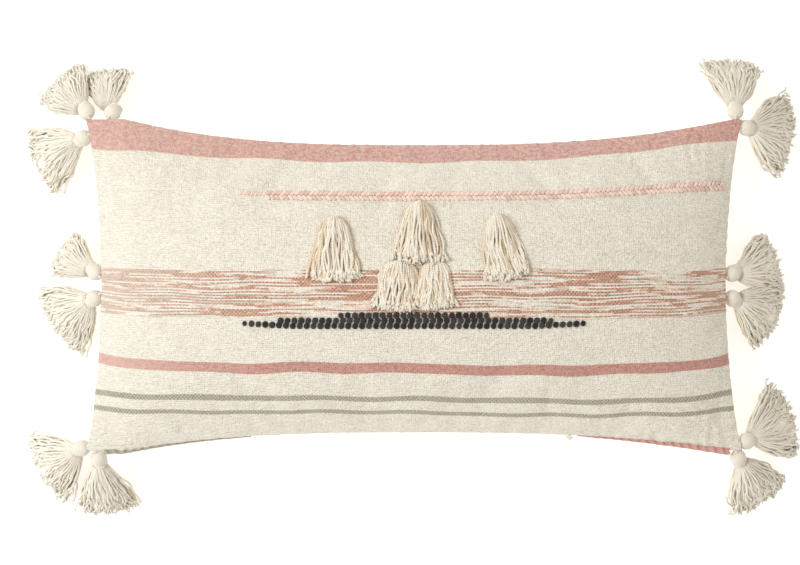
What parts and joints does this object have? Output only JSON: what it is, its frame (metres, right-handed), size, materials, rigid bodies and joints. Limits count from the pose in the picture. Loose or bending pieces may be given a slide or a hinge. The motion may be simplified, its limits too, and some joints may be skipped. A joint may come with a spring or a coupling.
{
  "type": "throw pillow",
  "caption": "Tasselled lumbar throw pillow: woven cotton cover with raised yarn rows, bottom zipper, fibre-filled insert, swinging corner and side tassels, and lifting face tufts.",
  "frame": {"origin": "centre of the bounding box at its bottom face: the ground under the pillow as it lies on its back", "axes": "+X along the pillow, to its right seen from the front; +Y towards its top edge; +Z out of its front face"},
  "size_m": [0.7352, 0.4294, 0.1333],
  "materials": {
    "front_panel": "matte hand-woven slub cotton with woven stripes",
    "back_panel": "matte hand-woven slub cotton",
    "casing_cloth": "matte plain calico",
    "fibre_fill": "matte polyester fibre",
    "zip_tape": "matte woven tape with a nylon coil",
    "painted_zip_metal": "satin enamel",
    "blush_yarn": "matte thick cotton yarn",
    "black_yarn": "matte thick cotton yarn",
    "grey_yarn": "matte thick cotton yarn",
    "rose_yarn": "matte thick cotton yarn",
    "tuft_yarn": "matte cotton yarn",
    "loop_cord": "matte twisted cotton cord",
    "tassel_binding": "matte wound cotton yarn",
    "tassel_yarn": "matte cotton yarn"
  },
  "bodies": {
    "pillow": {"back_panel": "back_panel", "black_yarn_band": "black_yarn", "blush_yarn_row": "blush_yarn", "fibre_fill": "fibre_fill", "front_panel": "front_panel", "grey_edge_row": "grey_yarn", "insert_casing_back": "casing_cloth", "insert_casing_front": "casing_cloth", "rose_edge_row": "rose_yarn", "zip_tape_back": "zip_tape", "zip_tape_front": "zip_tape"},
    "tassel_top_left_up": {"tassel_top_left_up_loop": "loop_cord", "tassel_top_left_up_head": "tassel_binding", "tassel_top_left_up_skirt": "tassel_yarn"},
    "tassel_top_left_side": {"tassel_top_left_side_loop": "loop_cord", "tassel_top_left_side_head": "tassel_binding", "tassel_top_left_side_skirt": "tassel_yarn"},
    "tassel_top_left_back": {"tassel_top_left_back_loop": "loop_cord", "tassel_top_left_back_head": "tassel_binding", "tassel_top_left_back_skirt": "tassel_yarn"},
    "tassel_left_upper": {"tassel_left_upper_loop": "loop_cord", "tassel_left_upper_head": "tassel_binding", "tassel_left_upper_skirt": "tassel_yarn"},
    "tassel_left_lower": {"tassel_left_lower_loop": "loop_cord", "tassel_left_lower_head": "tassel_binding", "tassel_left_lower_skirt": "tassel_yarn"},
    "tassel_bottom_left_side": {"tassel_bottom_left_side_loop": "loop_cord", "tassel_bottom_left_side_head": "tassel_binding", "tassel_bottom_left_side_skirt": "tassel_yarn"},
    "tassel_bottom_left_down": {"tassel_bottom_left_down_loop": "loop_cord", "tassel_bottom_left_down_head": "tassel_binding", "tassel_bottom_left_down_skirt": "tassel_yarn"},
    "tassel_top_right_up": {"tassel_top_right_up_loop": "loop_cord", "tassel_top_right_up_head": "tassel_binding", "tassel_top_right_up_skirt": "tassel_yarn"},
    "tassel_top_right_side": {"tassel_top_right_side_loop": "loop_cord", "tassel_top_right_side_head": "tassel_binding", "tassel_top_right_side_skirt": "tassel_yarn"},
    "tassel_right_upper": {"tassel_right_upper_loop": "loop_cord", "tassel_right_upper_head": "tassel_binding", "tassel_right_upper_skirt": "tassel_yarn"},
    "tassel_right_lower": {"tassel_right_lower_loop": "loop_cord", "tassel_right_lower_head": "tassel_binding", "tassel_right_lower_skirt": "tassel_yarn"},
    "tassel_bottom_right_side": {"tassel_bottom_right_side_loop": "loop_cord", "tassel_bottom_right_side_head": "tassel_binding", "tassel_bottom_right_side_skirt": "tassel_yarn"},
    "tassel_bottom_right_down": {"tassel_bottom_right_down_loop": "loop_cord", "tassel_bottom_right_down_head": "tassel_binding", "tassel_bottom_right_down_skirt": "tassel_yarn"},
    "tuft_left_body": {"tuft_left": "tuft_yarn"},
    "tuft_centre_body": {"tuft_centre": "tuft_yarn"},
    "tuft_right_body": {"tuft_right": "tuft_yarn"},
    "tuft_lower_left_body": {"tuft_lower_left": "tuft_yarn"},
    "tuft_lower_right_body": {"tuft_lower_right": "tuft_yarn"},
    "slider": {"zip_slider": "painted_zip_metal"},
    "pull": {"zip_pull": "painted_zip_metal"}
  },
  "joints": [
    {"name": "tassel_top_left_up_swing", "type": "hinge", "parent": "pillow", "child": "tassel_top_left_up", "pos_m": [-0.30398, 0.15526, 0.056], "axis": [0.891, 0.454, 0], "range_deg": [0, 75]},
    {"name": "tassel_top_left_side_swing", "type": "hinge", "parent": "pillow", "child": "tassel_top_left_side", "pos_m": [-0.30325, 0.1425, 0.056], "axis": [-0.4848, 0.8746, 0], "range_deg": [0, 75]},
    {"name": "tassel_top_left_back_swing", "type": "hinge", "parent": "pillow", "child": "tassel_top_left_back", "pos_m": [-0.28902, 0.15192, 0.056], "axis": [0.8829, -0.4695, 0], "range_deg": [0, 75]},
    {"name": "tassel_left_upper_swing", "type": "hinge", "parent": "pillow", "child": "tassel_left_upper", "pos_m": [-0.29304, 0.00654, 0.056], "axis": [0.6428, 0.766, 0], "range_deg": [0, 75]},
    {"name": "tassel_left_lower_swing", "type": "hinge", "parent": "pillow", "child": "tassel_left_lower", "pos_m": [-0.29304, -0.00697, 0.056], "axis": [-0.6018, 0.7986, 0], "range_deg": [0, 75]},
    {"name": "tassel_bottom_left_side_swing", "type": "hinge", "parent": "pillow", "child": "tassel_bottom_left_side", "pos_m": [-0.30424, -0.14997, 0.056], "axis": [-0.3907, 0.9205, 0], "range_deg": [0, 75]},
    {"name": "tassel_bottom_left_down_swing", "type": "hinge", "parent": "pillow", "child": "tassel_bottom_left_down", "pos_m": [-0.29846, -0.15443, 0.056], "axis": [-0.9744, -0.225, 0], "range_deg": [0, 75]},
    {"name": "tassel_top_right_up_swing", "type": "hinge", "parent": "pillow", "child": "tassel_top_right_up", "pos_m": [0.30151, 0.15469, 0.056], "axis": [0.9945, -0.1045, 0], "range_deg": [0, 75]},
    {"name": "tassel_top_right_side_swing", "type": "hinge", "parent": "pillow", "child": "tassel_top_right_side", "pos_m": [0.30403, 0.14896, 0.056], "axis": [-0.1392, -0.9903, 0], "range_deg": [0, 75]},
    {"name": "tassel_right_upper_swing", "type": "hinge", "parent": "pillow", "child": "tassel_right_upper", "pos_m": [0.29204, 0.00604, 0.056], "axis": [0.5299, -0.848, 0], "range_deg": [0, 75]},
    {"name": "tassel_right_lower_swing", "type": "hinge", "parent": "pillow", "child": "tassel_right_lower", "pos_m": [0.29206, -0.00799, 0.056], "axis": [-0.5299, -0.848, 0], "range_deg": [0, 75]},
    {"name": "tassel_bottom_right_side_swing", "type": "hinge", "parent": "pillow", "child": "tassel_bottom_right_side", "pos_m": [0.30403, -0.14896, 0.056], "axis": [0.225, -0.9744, 0], "range_deg": [0, 75]},
    {"name": "tassel_bottom_right_down_swing", "type": "hinge", "parent": "pillow", "child": "tassel_bottom_right_down", "pos_m": [0.30151, -0.15492, 0.056], "axis": [-0.9205, -0.3907, 0], "range_deg": [0, 75]},
    {"name": "tuft_left_lift", "type": "hinge", "parent": "pillow", "child": "tuft_left_body", "pos_m": [-0.0728, 0.06065, 0.11661], "axis": [-1, 0, 0], "range_deg": [0, 100]},
    {"name": "tuft_centre_lift", "type": "hinge", "parent": "pillow", "child": "tuft_centre_body", "pos_m": [0.004, 0.07445, 0.11216], "axis": [-0.9998, 0.0175, 0], "range_deg": [0, 100]},
    {"name": "tuft_right_lift", "type": "hinge", "parent": "pillow", "child": "tuft_right_body", "pos_m": [0.0738, 0.06245, 0.11602], "axis": [-0.9848, -0.1736, 0], "range_deg": [0, 100]},
    {"name": "tuft_lower_left_lift", "type": "hinge", "parent": "pillow", "child": "tuft_lower_left_body", "pos_m": [-0.013, 0.0205, 0.1252], "axis": [-0.9962, 0.0872, 0], "range_deg": [0, 50]},
    {"name": "tuft_lower_right_lift", "type": "hinge", "parent": "pillow", "child": "tuft_lower_right_body", "pos_m": [0.0175, 0.0205, 0.1252], "axis": [-0.9994, -0.0349, 0], "range_deg": [0, 50]},
    {"name": "zip_slide", "type": "slide", "parent": "pillow", "child": "slider", "axis": [-1, 0, 0], "range_m": [0, 0.292]},
    {"name": "pull_flip", "type": "hinge", "parent": "slider", "child": "pull", "pos_m": [0.146, -0.14325, 0.056], "axis": [-1, 0, 0], "range_deg": [-10, 150]}
  ]
}
